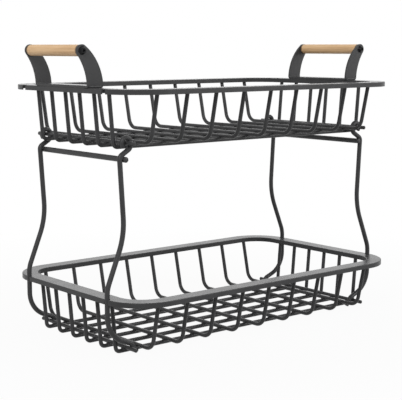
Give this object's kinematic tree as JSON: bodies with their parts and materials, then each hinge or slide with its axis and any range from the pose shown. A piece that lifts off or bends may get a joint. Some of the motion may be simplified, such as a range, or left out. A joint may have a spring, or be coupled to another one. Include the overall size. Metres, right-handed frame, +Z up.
{
  "type": "tiered wire basket",
  "caption": "Two-tier countertop wire basket: rounded rectangular baskets with flat rims, joined by hooked bent-wire side frames, with wooden grips on the upper rim.",
  "frame": {"origin": "on the table, under the middle of the baskets", "axes": "+X along the long side towards the right-hand handle, +Z up"},
  "size_m": [0.4266, 0.248, 0.323],
  "materials": {
    "powder_coat": "satin charcoal powder coat",
    "grip_wood": "pale turned wood, thinly sealed",
    "screw_steel": "blackened steel"
  },
  "bodies": {
    "lower_basket": {"lower_rim": "powder_coat", "lower_long_wire_1": "powder_coat", "lower_long_wire_2": "powder_coat", "lower_long_wire_3": "powder_coat", "lower_long_wire_4": "powder_coat", "lower_long_wire_5": "powder_coat", "lower_long_wire_6": "powder_coat", "lower_cross_wire_1": "powder_coat", "lower_cross_wire_2": "powder_coat", "lower_cross_wire_3": "powder_coat", "lower_cross_wire_4": "powder_coat", "lower_cross_wire_5": "powder_coat", "lower_cross_wire_6": "powder_coat", "lower_cross_wire_7": "powder_coat", "lower_cross_wire_8": "powder_coat", "lower_cross_wire_9": "powder_coat", "lower_left_rod": "powder_coat", "lower_right_rod": "powder_coat"},
    "upper_basket": {"upper_rim": "powder_coat", "upper_long_wire_1": "powder_coat", "upper_long_wire_2": "powder_coat", "upper_long_wire_3": "powder_coat", "upper_long_wire_4": "powder_coat", "upper_long_wire_5": "powder_coat", "upper_long_wire_6": "powder_coat", "upper_cross_wire_1": "powder_coat", "upper_cross_wire_2": "powder_coat", "upper_cross_wire_3": "powder_coat", "upper_cross_wire_4": "powder_coat", "upper_cross_wire_5": "powder_coat", "upper_cross_wire_6": "powder_coat", "upper_cross_wire_7": "powder_coat", "upper_cross_wire_8": "powder_coat", "upper_cross_wire_9": "powder_coat", "upper_left_rod": "powder_coat", "upper_right_rod": "powder_coat", "left_handle_bracket": "powder_coat", "left_grip": "grip_wood", "left_handle_screws": "screw_steel", "right_handle_bracket": "powder_coat", "right_grip": "grip_wood", "right_handle_screws": "screw_steel"},
    "left_frame": {"left_front_leg": "powder_coat", "left_back_leg": "powder_coat", "left_cross_bar": "powder_coat"},
    "right_frame": {"right_front_leg": "powder_coat", "right_back_leg": "powder_coat", "right_cross_bar": "powder_coat"}
  },
  "joints": [
    {"name": "upper_lift", "type": "slide", "parent": "lower_basket", "child": "upper_basket", "axis": [0, 0, 1], "range_m": [0, 0.1]},
    {"name": "left_frame_swing", "type": "hinge", "parent": "upper_basket", "child": "left_frame", "pos_m": [-0.17229, 0, 0.2227], "axis": [0, 1, 0], "range_deg": [0, 19]},
    {"name": "right_frame_swing", "type": "hinge", "parent": "upper_basket", "child": "right_frame", "pos_m": [0.17229, 0, 0.2227], "axis": [0, 1, 0], "range_deg": [-19, 0]}
  ],
  "couplings": [
    {"joint": "left_frame_swing", "follows": "upper_lift", "rad_per_m": 3.3},
    {"joint": "right_frame_swing", "follows": "upper_lift", "rad_per_m": -3.3}
  ]
}
